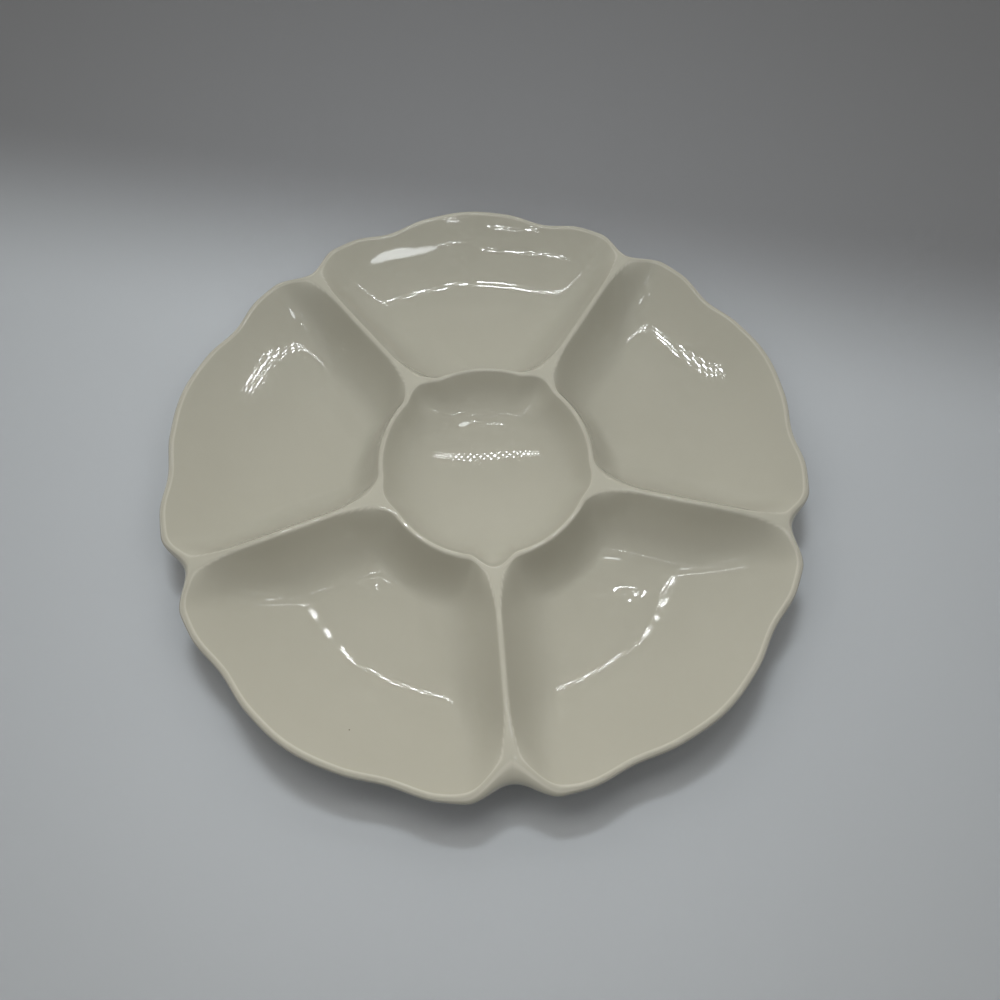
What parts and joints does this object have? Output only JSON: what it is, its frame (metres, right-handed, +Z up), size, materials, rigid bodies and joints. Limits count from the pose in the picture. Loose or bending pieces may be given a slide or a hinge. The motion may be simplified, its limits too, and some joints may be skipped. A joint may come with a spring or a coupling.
{
  "type": "vegetable and dip tray",
  "caption": "Round scalloped serving dish in ivory glazed ceramic, with petal-shaped compartments divided by rounded ridges round a central dip well.",
  "frame": {"origin": "on the dish's axis, at the table under its feet", "axes": "+Z up out of the dip well, +Y along the axis of the first petal, a divider along -Y"},
  "size_m": [0.33, 0.3325, 0.039],
  "materials": {
    "glaze": "glossy ivory glaze",
    "bare_clay": "bare fired clay, matt"
  },
  "bodies": {
    "root": {"dip_well": "glaze", "petal_1": "glaze", "petal_2": "glaze", "petal_3": "glaze", "petal_4": "glaze", "petal_5": "glaze", "divider_1": "glaze", "divider_2": "glaze", "divider_3": "glaze", "divider_4": "glaze", "divider_5": "glaze", "foot_1": "bare_clay", "foot_2": "bare_clay", "foot_3": "bare_clay", "foot_4": "bare_clay", "foot_5": "bare_clay"}
  },
  "joints": []
}
